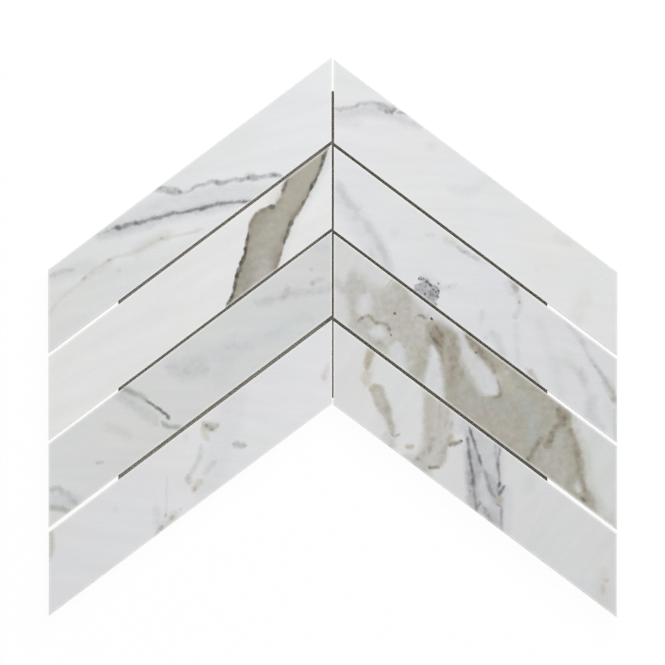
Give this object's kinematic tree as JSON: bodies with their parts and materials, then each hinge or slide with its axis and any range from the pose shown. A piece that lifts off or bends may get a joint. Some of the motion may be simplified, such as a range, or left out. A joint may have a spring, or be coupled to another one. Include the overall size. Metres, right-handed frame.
{
  "type": "chevron wall tile",
  "caption": "Chevron mosaic sheet of veined white marble parallelograms, held at narrow joints by a net bonded to their backs, for tiling a wall.",
  "frame": {"origin": "middle of the sheet's outline, at the back of the net, so z = 0 is the level floor it lies on", "axes": "+Z out of the polished faces, +Y up the spine joint towards the point of the chevron, +X across the sheet to the right column"},
  "size_m": [0.3052, 0.3006, 0.01],
  "materials": {
    "marble": "polished white marble with grey and taupe veins",
    "net": "glass-fibre net in a pale matt adhesive coat"
  },
  "bodies": {
    "root": {"tile_left_1": "marble", "tile_left_2": "marble", "tile_left_3": "marble", "tile_left_4": "marble", "tile_right_1": "marble", "tile_right_2": "marble", "tile_right_3": "marble", "tile_right_4": "marble", "net_left_outer": "net", "net_left_inner": "net", "net_right_inner": "net", "net_right_outer": "net"}
  },
  "joints": []
}
